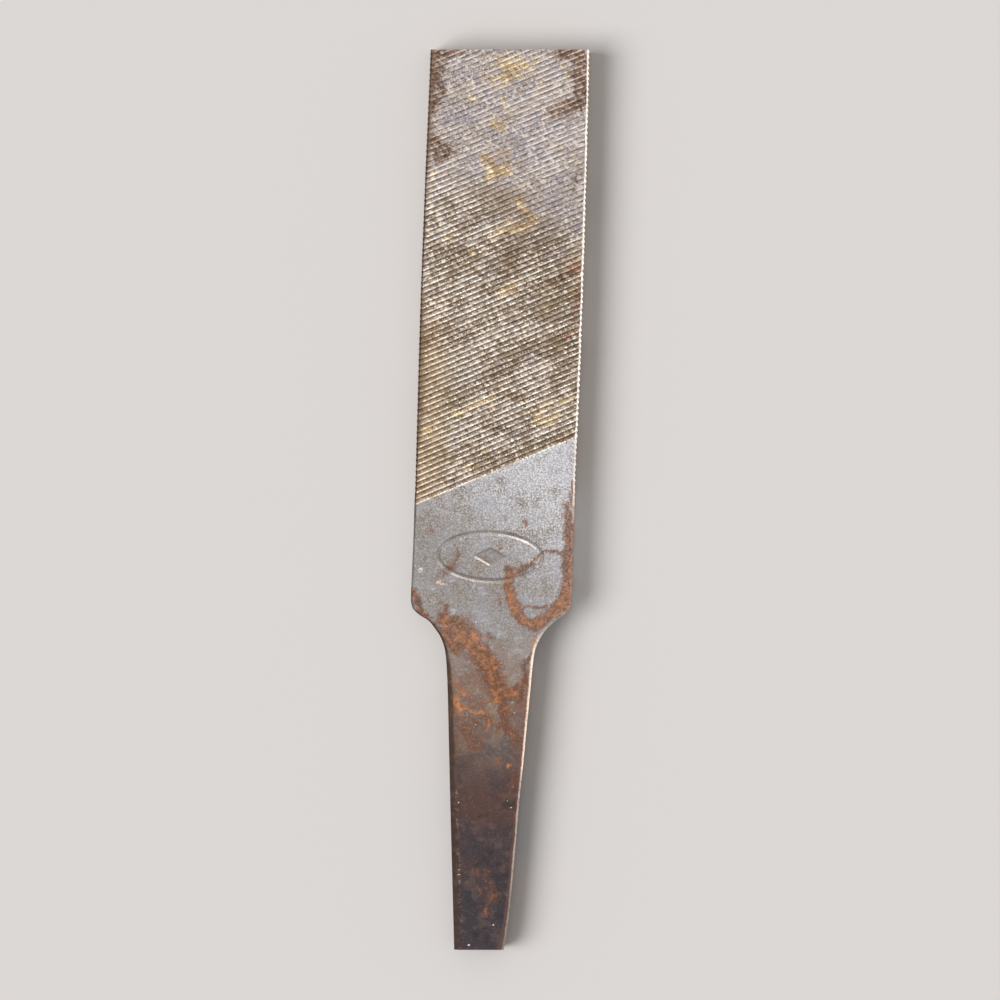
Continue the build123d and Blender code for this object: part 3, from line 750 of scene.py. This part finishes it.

# plain steel of the heel: grey, bluish in places and brownish in others, with a fine grain
# painted light: the heel's grey runs lighter to the upper right and darker to the lower left
heel = N.mix(N.ramp(a["painted_light_gradient"], 0.05, 0.95), srgb(152, 147, 145), srgb(203, 202, 208))
heel = N.mix(N.ramp(blotch, 0.50, 0.68, 0.0, 0.45), heel, srgb(168, 170, 182))
heel = N.mix(N.ramp(blotch, 0.47, 0.34, 0.0, 0.75), heel, srgb(146, 133, 122))
heel = N.mix(N.ramp(mid, 0.50, 0.70, 0.0, 0.55), heel, srgb(140, 129, 120))
heel = N.mix(N.ramp(N.jitter(mid, fine, 0.5), 0.42, 0.28, 0.0, 0.55), heel, srgb(206, 205, 210))
heel = N.mix(N.mul(N.ramp(salt, 0.30, 0.50, 1.0, 0.0), N.ramp(blotch, 0.36, 0.60, 0.50, 0.22)), heel, srgb(112, 106, 103))
# bright grains, stronger where the painted light is lighter: grain with painted glints
heel = N.mix(N.mul(N.ramp(salt, 0.50, 0.70), N.ramp(a["painted_light_gradient"], 0.1, 0.8, 0.20, 0.85)), heel, srgb(232, 232, 236))

# teeth: each row is a broken line of crests painted bright as highlights, over a thin dark line that is partly packed
# dirt and partly painted shade on the steep face below each crest, with grey-brown steel between the rows
along = N.jitter(a["row"], mid, 0.16)
k = N.math("FLOOR", N.add(along, 0.16))
t = N.math("SUBTRACT", along, k)
# painted shade: the thin dark line just below each crest, partly packed dirt
line = N.mul(N.ramp(t, 0.50, 0.62), N.ramp(t, 0.76, 0.84, 1.0, 0.0))
across = N.add(a["cross"], N.mul(N.hashed(k, 3.0, 7.0), 0.5))
tooth = N.add(N.mul(N.hashed(k, N.math("FLOOR", across), 1.0), 0.5), N.mul(N.hashed(k, N.math("FLOOR", N.add(N.mul(across, 0.38), N.mul(N.hashed(k, 5.0, 9.0), 6.0))), 2.0), 0.5))
tooth = N.add(tooth, N.mul(N.add(a["grime"], -0.45), -0.80))
gap = N.math("ABSOLUTE", N.add(N.mul(N.math("FRACT", across), 2.0), -1.0))
gap = N.mul(N.ramp(N.jitter(gap, fine, 0.5), 0.50, 0.95), N.ramp(N.hashed(k, N.math("FLOOR", N.add(across, 0.5)), 4.0), 0.30, 0.70))
crest = N.mul(N.ramp(N.jitter(t, fine, 0.12), -0.15, -0.06), N.ramp(N.jitter(t, fleck, 0.30), 0.08, 0.28, 1.0, 0.0))
crest = N.mul(N.mul(crest, N.ramp(gap, 0.0, 1.0, 1.0, 0.18)), N.ramp(N.jitter(a["depth"], fine, 0.2), 0.30, 0.60, 1.0, 0.35))
# painted highlights: crests run from dull brown-grey to near white, the brightest flecks as painted glints
crest_colour_and_highlight = N.mix(N.ramp(tooth, 0.22, 0.52), srgb(168, 149, 131), srgb(255, 248, 236))
crest_colour_and_highlight = N.mix(N.ramp(N.jitter(a["gold"], mid, 0.8), 0.2, 0.9, 0.0, 0.6), crest_colour_and_highlight, srgb(250, 222, 176))
crest_colour_and_highlight = N.mix(N.ramp(fleck, 0.50, 0.66, 0.0, 0.6), crest_colour_and_highlight, srgb(255, 250, 242))
between = N.mix(N.ramp(a["grime"], 0.20, 0.80), srgb(154, 140, 129), srgb(98, 80, 62))
between = N.mix(N.ramp(mid, 0.46, 0.66, 0.0, 0.6), between, srgb(132, 115, 100))
between = N.mix(N.ramp(blotch, 0.52, 0.66, 0.0, 0.6), between, srgb(140, 137, 146))
facet = N.hashed(k, N.math("FLOOR", N.add(across, 0.4)), 8.0)
between = N.mix(N.mul(N.ramp(facet, 0.62, 0.80), N.ramp(fine, 0.38, 0.56)), between, srgb(206, 192, 178))
between = N.mix(N.mul(N.ramp(facet, 0.34, 0.16), N.ramp(fine, 0.62, 0.44)), between, srgb(92, 74, 58))
between = N.mix(N.ramp(fleck, 0.30, 0.46, 0.85, 0.0), between, srgb(76, 60, 48))
between = N.mix(N.ramp(grain, 0.55, 0.66, 0.0, 0.85), between, srgb(226, 214, 200))
between = N.mix(N.ramp(N.jitter(a["gold"], mid, 0.8), 0.2, 0.9, 0.0, 0.55), between, srgb(142, 114, 82))
olive = N.mul(N.ramp(N.jitter(wide, mid, 0.6), 0.50, 0.64), N.ramp(N.jitter(fine, fleck, 0.6), 0.36, 0.56))
between = N.mix(N.mul(olive, 0.7), between, srgb(104, 86, 58))
crest_colour_and_highlight = N.mix(N.mul(olive, N.ramp(tooth, 0.3, 0.6, 0.75, 0.3)), crest_colour_and_highlight, srgb(176, 152, 112))
# colour of the dark line: packed dirt darkened as painted shade
packed_dirt_and_shade = N.mix(N.ramp(fine, 0.35, 0.65), srgb(66, 49, 37), srgb(110, 90, 74))
teeth = N.mix(N.mul(line, N.ramp(N.jitter(tooth, fleck, 0.9), 0.0, 0.5, 0.95, 0.55)), between, packed_dirt_and_shade)
teeth = N.mix(crest, teeth, crest_colour_and_highlight)
# crests worn flat near the cut end are lavender grey, with painted glints and highlights as bright grains, and short
# dark dashes of painted shade
worn_flat_and_glints = N.mix(N.ramp(blotch, 0.40, 0.62), srgb(157, 146, 141), srgb(146, 140, 149))
# painted shade: short dark dashes along the line below each crest
worn_flat_and_glints = N.mix(N.mul(line, N.ramp(N.hashed(k, N.math("FLOOR", N.mul(across, 0.55)), 6.0), 0.25, 0.55, 0.40, 0.95)), worn_flat_and_glints, srgb(92, 82, 83))
worn_flat_and_glints = N.mix(N.ramp(fleck, 0.30, 0.46, 0.65, 0.0), worn_flat_and_glints, srgb(98, 84, 78))
worn_flat_and_glints = N.mix(N.mul(N.ramp(facet, 0.74, 0.90), N.ramp(fine, 0.40, 0.56)), worn_flat_and_glints, srgb(196, 186, 182))
worn_flat_and_glints = N.mix(N.mul(N.ramp(mid, 0.52, 0.68), N.ramp(fine, 0.42, 0.58, 0.0, 0.85)), worn_flat_and_glints, srgb(136, 116, 98))
# painted glints and highlights on the worn crests
worn_flat_and_glints = N.mix(N.mul(N.ramp(salt, 0.57, 0.72), N.add(0.42, N.mul(crest, 0.58))), worn_flat_and_glints, srgb(252, 243, 234))
worn_flat_and_glints = N.mix(N.mul(crest, N.ramp(N.jitter(tooth, fleck, 0.8), 0.40, 0.75, 0.10, 0.92)), worn_flat_and_glints, srgb(242, 231, 222))
teeth = N.mix(N.ramp(N.jitter(a["wear"], mid, 0.5), 0.10, 0.80, 0.0, 0.92), teeth, worn_flat_and_glints)
# golden-brown stain, patchy down to single teeth, with painted highlights on its crests
stain = N.ramp(N.jitter(N.jitter(a["stain"], fine, 1.2), mid, 0.8), 0.30, 0.62)
ochre_stain_and_highlight = N.mix(N.ramp(fleck, 0.34, 0.52), srgb(90, 66, 40), srgb(156, 124, 80))
ochre_stain_and_highlight = N.mix(N.mul(N.ramp(tooth, 0.30, 0.6), N.ramp(grain, 0.46, 0.62)), ochre_stain_and_highlight, srgb(250, 226, 172))
# painted highlights on the crests within the stain
ochre_stain_and_highlight = N.mix(N.mul(crest, N.ramp(tooth, 0.15, 0.55, 0.25, 0.95)), ochre_stain_and_highlight, srgb(255, 234, 188))
teeth = N.mix(N.mul(stain, 0.88), teeth, ochre_stain_and_highlight)
side = N.mix(N.ramp(N.jitter(a["depth"], fine, 0.6), 0.15, 0.75), srgb(212, 200, 186), srgb(104, 88, 74))
teeth = N.mix(N.math("ABSOLUTE", a["wall"]), teeth, side)
steel = N.mix(a["cut"], heel, teeth)

# the tang: brown oxide by the neck, blackened by heat towards its end
brown = N.mix(N.ramp(N.jitter(N.jitter(a["warm"], mid, 0.8), fine, 0.4), 0.15, 0.85), srgb(102, 88, 83), srgb(130, 88, 64))
brown = N.mix(N.ramp(blotch, 0.48, 0.66, 0.0, 0.5), brown, srgb(146, 122, 98))
brown = N.mix(N.ramp(grain, 0.50, 0.70, 0.0, 0.35), brown, srgb(168, 146, 130))
black = N.mix(N.ramp(N.jitter(N.jitter(a["warm"], mid, 0.7), fine, 0.3), 0.1, 0.9), srgb(42, 40, 49), srgb(78, 52, 46))
black = N.mix(N.ramp(N.jitter(fine, fleck, 0.6), 0.50, 0.75, 0.0, 0.40), black, srgb(104, 86, 78))
black = N.mix(N.ramp(blotch, 0.47, 0.36, 0.0, 0.65), black, srgb(34, 30, 36))
black = N.mix(N.ramp(N.jitter(mid, wide, 0.8), 0.52, 0.66, 0.0, 0.35), black, srgb(96, 78, 72))
steel = N.mix(N.mul(a["brown"], N.ramp(fine, 0.25, 0.6, 0.7, 1.0)), steel, brown)
steel = N.mix(N.mul(a["dark"], N.ramp(fine, 0.25, 0.6, 0.9, 1.0)), steel, black)

# rust: a soft film at its border, red-brown inside it, and ragged flecks of orange
film = N.jitter(N.jitter(a["rust"], fine, 0.45), mid, 0.40)
bright = N.ramp(a["hue"], 0.62, 0.88)
rust_mask = N.add(N.mul(N.ramp(film, 0.17, 0.55), N.add(1.0, N.mul(bright, -1.0))), N.mul(N.ramp(film, 0.15, 0.95, 0.0, 0.95), bright))
rust_mask = N.mul(rust_mask, N.ramp(N.jitter(fleck, fine, 0.6), 0.25, 0.60, 1.0, 0.84))
rust_mask = N.mul(rust_mask, N.math("MAXIMUM", N.add(1.0, N.mul(a["cut"], -1.0)), N.ramp(N.jitter(N.jitter(facet, mid, 1.2), fine, 0.9), 0.85, 0.35, 0.62, 1.0)))
rust_hue = N.jitter(N.jitter(N.jitter(a["hue"], mid, 1.0), fine, 0.6), fleck, 0.25)
rust_colour = N.mix(N.ramp(rust_hue, 0.0, 0.45), srgb(90, 61, 45), srgb(144, 95, 63))
rust_colour = N.mix(N.ramp(rust_hue, 0.45, 1.05), rust_colour, srgb(216, 138, 74))
border = N.mul(N.ramp(film, 0.15, 0.35), N.ramp(film, 0.42, 0.66, 1.0, 0.0))
rust_colour = N.mix(N.mul(border, N.ramp(a["hue"], 0.6, 0.85, 0.85, 0.1)), rust_colour, srgb(98, 60, 44))
inside = N.mul(N.ramp(N.jitter(film, mid, 0.4), 0.85, 1.10), N.ramp(a["hue"], 0.35, 0.60, 0.65, 0.0))
rust_colour = N.mix(inside, rust_colour, srgb(140, 120, 92))
rust_colour = N.mix(N.ramp(grain, 0.52, 0.70, 0.0, 0.35), rust_colour, srgb(196, 138, 90))
rust_colour = N.mix(N.ramp(fleck, 0.40, 0.26, 0.0, 0.20), rust_colour, srgb(84, 56, 40))
mottle = N.jitter(N.noise(0.85, 2.0, 0.6, offset=0.067), fine, 0.25)
rust_colour = N.mix(N.ramp(mottle, 0.52, 0.38, 0.0, 0.62), rust_colour, srgb(84, 53, 37))
rust_colour = N.mix(N.ramp(mottle, 0.56, 0.70, 0.0, 0.45), rust_colour, srgb(204, 134, 84))
rust_on_teeth_and_highlights = N.mix(N.ramp(fleck, 0.38, 0.58), srgb(36, 24, 18), srgb(86, 58, 40))
# painted highlights: bright crests within the rust on the teeth
rust_on_teeth_and_highlights = N.mix(N.mul(N.mul(crest, N.ramp(grain, 0.40, 0.56, 0.35, 1.0)), N.ramp(N.jitter(tooth, fleck, 0.9), 0.15, 0.60, 0.1, 0.95)), rust_on_teeth_and_highlights, srgb(228, 192, 156))
rust_on_teeth_and_highlights = N.mix(bright, rust_on_teeth_and_highlights, N.mix(N.mul(crest, 0.9), srgb(104, 54, 38), srgb(222, 134, 96)))
rust_colour = N.mix(N.mul(a["cut"], 0.82), rust_colour, rust_on_teeth_and_highlights)
colour = N.mix(rust_mask, steel, rust_colour)

# small loose specks of rust anywhere
loose = N.mul(N.ramp(N.noise(0.6, 1.0, 0.5, offset=0.041), 0.67, 0.76), N.mul(N.ramp(wide, 0.35, 0.6, 0.1, 0.6), N.ramp(a["brown"], 0.2, 0.9, 1.0, 0.3)))
colour = N.mix(loose, colour, rust_colour)

# dark staining along the left edge, partly painted shade on the side away from the light, cream-coloured dried dirt and
# pale specks
colour = N.mix(N.ramp(N.jitter(N.jitter(a["left"], fleck, 0.35), fine, 0.3), 0.05, 0.75, 0.0, 0.85), colour, N.mix(N.ramp(a["brown"], 0.2, 0.8), N.mix(N.ramp(fine, 0.4, 0.7), srgb(88, 68, 50), srgb(134, 106, 76)), srgb(96, 74, 58)))
caked = N.ramp(N.jitter(N.jitter(a["cream"], fine, 1.0), fleck, 0.5), 0.42, 0.9)
colour = N.mix(N.mul(caked, 0.6), colour, N.mix(N.ramp(a["depth"], 0.3, 0.8), srgb(255, 240, 204), srgb(176, 146, 100)))
colour = N.mix(N.ramp(N.jitter(a["speck"], fleck, 0.6), 0.40, 0.70, 0.0, 0.9), colour, srgb(222, 208, 196))
colour = N.mix(N.mul(a["chips"], N.ramp(N.jitter(N.jitter(fleck, mid, 1.2), grain, 0.5), 0.56, 0.80, 0.0, 0.42)), colour, srgb(168, 152, 140))
# dark dirt left in the stamped mark, and painted shade against its walls
colour = N.mix(N.mul(N.ramp(a["mark"], 0.5, 1.0), N.ramp(mid, 0.40, 0.65, 0.40, 0.7)), colour, srgb(120, 104, 94))
# painted shade along the groove walls of the mark
wall = N.mul(N.ramp(a["mark"], 0.08, 0.30), N.ramp(a["mark"], 0.45, 0.75, 1.0, 0.0))
colour = N.mix(N.mul(wall, 0.45), colour, srgb(84, 74, 70))

# long edges of the faces: a bright rim on the right, rubbed steel with a painted highlight, and a dark one on the left,
# staining with painted shade
above = N.ramp(a["face"], 0.2, 0.8)
rim = N.add(N.jitter(N.jitter(a["rim_r"], fine, 0.8), mid, 0.7), N.mul(a["brown"], 0.24))
rubbed_edge_and_highlight = N.mul(N.ramp(rim, 0.65, 1.35, 1.0, 0.0), N.mul(N.ramp(N.jitter(fleck, fine, 0.4), 0.30, 0.46, 0.6, 1.0), N.ramp(N.jitter(mid, fine, 0.5), 0.34, 0.50, 0.72, 1.0)))
# painted highlight: the right rim's near-white colour, with rubbed steel
colour = N.mix(N.mul(N.mul(rubbed_edge_and_highlight, a["rubbed_edge_and_highlight"]), above), colour, N.mix(a["brown"], srgb(255, 247, 236), N.mix(N.ramp(a["dark"], 0.6, 1.0), srgb(244, 220, 202), srgb(190, 172, 160))))
inner = N.mul(N.ramp(a["rim_r"], 1.0, 1.3), N.ramp(N.jitter(a["rim_r"], mid, 0.8), 1.5, 2.1, 1.0, 0.0))
colour = N.mix(N.mul(N.mul(inner, a["brown"]), N.mul(above, 0.4)), colour, srgb(120, 70, 54))
# painted shade: the left rim's dark brown, with staining
shade = N.mul(N.ramp(N.jitter(a["rim_l"], fine, 0.5), 0.80, 1.15, 1.0, 0.0), N.ramp(a["left"], 0.05, 0.40, 0.3, 1.0))
colour = N.mix(N.mul(shade, N.mul(above, 0.85)), colour, N.mix(N.ramp(mid, 0.4, 0.65), N.mix(a["dark"], srgb(70, 50, 36), srgb(66, 48, 42)), N.mix(a["dark"], srgb(96, 72, 54), srgb(80, 60, 52))))

# the two cut ends are plain worn steel, brown by the blade and dark by the tang
end = N.mix(N.ramp(N.jitter(mid, fine, 0.5), 0.38, 0.62), srgb(98, 86, 77), srgb(136, 126, 118))
end = N.mix(N.ramp(N.jitter(blotch, fine, 0.4), 0.52, 0.66, 0.0, 0.6), end, srgb(104, 72, 52))
end = N.mix(N.ramp(grain, 0.54, 0.72, 0.0, 0.5), end, srgb(178, 168, 158))
end = N.mix(N.mul(a["dark"], 0.9), end, N.mix(N.ramp(N.jitter(mid, fine, 0.5), 0.35, 0.65), srgb(52, 44, 44), srgb(92, 70, 60)))
colour = N.mix(N.attr("cap"), colour, end)

N.link(colour, N.shader.inputs["Base Color"])
dull = N.high(N.high(rust_mask, caked), N.high(N.mul(a["brown"], 0.9), N.mul(N.mul(N.add(1.0, N.mul(crest, -1.0)), a["cut"]), 0.85)))
N.link(N.ramp(dull, 0.0, 1.0, 0.40, 0.0), N.shader.inputs["Metallic"])
N.link(N.ramp(N.add(dull, N.mul(mid, 0.4)), 0.0, 1.3, 0.40, 0.80), N.shader.inputs["Roughness"])
N.shader.inputs["Specular IOR Level"].default_value = 0.4
bump = N.tree.nodes.new("ShaderNodeBump")
bump.inputs["Strength"].default_value = 0.5
bump.inputs["Distance"].default_value = 0.00004
N.link(N.add(N.mul(grain, 0.6), N.mul(fine, 0.8)), bump.inputs["Height"])
N.link(bump.outputs[0], N.shader.inputs["Normal"])
mesh.materials.append(N.mat)

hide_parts("flat_file")
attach(body, "root")

# ---------------------------------------------------------------- floor, light and camera
floor_mesh = bpy.data.meshes.new("floor")
s = 1.2
floor_mesh.from_pydata([(-s, -s, 0), (s, -s, 0), (s, s, 0), (-s, s, 0)], [], [(0, 1, 2, 3)])
floor = bpy.data.objects.new("floor", floor_mesh)
floor.location.z = -0.00002
bpy.context.scene.collection.objects.link(floor)
paper = bpy.data.materials.new("pale_floor")
paper.use_nodes = True
sh = paper.node_tree.nodes["Principled BSDF"]
sh.inputs["Base Color"].default_value = (0.675, 0.652, 0.640, 1)
sh.inputs["Roughness"].default_value = 0.9
sh.inputs["Specular IOR Level"].default_value = 0.1
floor_mesh.materials.append(paper)

world = bpy.data.worlds.new("studio")
bpy.context.scene.world = world
world.use_nodes = True
world.node_tree.nodes["Background"].inputs[0].default_value = (1.0, 0.99, 0.98, 1)
world.node_tree.nodes["Background"].inputs[1].default_value = 0.30


def sun(name, azimuth, elevation, strength, angle, target, colour):
    """A soft light from that side: azimuth counts from +X towards +Y."""
    data = bpy.data.lights.new(name, "SUN")
    data.energy, data.angle, data.color = strength, radians(angle), colour
    o = bpy.data.objects.new(name, data)
    az, el = radians(azimuth), radians(elevation)
    d = Vector((cos(az) * cos(el), sin(az) * cos(el), sin(el)))
    o.rotation_euler = d.to_track_quat("Z", "Y").to_euler()
    o.location = d * 0.6
    bpy.context.scene.collection.objects.link(o)
    group = bpy.data.collections.new(name + "_lit")
    group.objects.link(target)
    o.light_linking.receiver_collection = group
    return o


sun("key_on_file", 62, 38, 3.7, 16, body, (1.0, 0.97, 0.93))
sun("fill_on_file", 200, 78, 0.62, 150, body, (1.0, 1.0, 1.0))
sun("key_on_floor", 197, 48, 2.60, 38, floor, (1.0, 0.99, 0.98))
sun("fill_on_floor", 190, 68, 0.49, 110, floor, (1.0, 0.99, 0.98))

cam_data = bpy.data.cameras.new("camera")
cam_data.sensor_width = 36.0
distance = 1.0
cam_data.lens = 36.0 * distance / 0.1558
cam = bpy.data.objects.new("camera", cam_data)
cam.location = (0.7345 * MM, -0.138 * MM, THICK * MM + distance)
cam.rotation_euler = (0, 0, radians(1.95))
cam_data.clip_start, cam_data.clip_end = 0.01, 10
bpy.context.scene.collection.objects.link(cam)
bpy.context.scene.camera = cam
bpy.context.scene.view_settings.view_transform = "Standard"
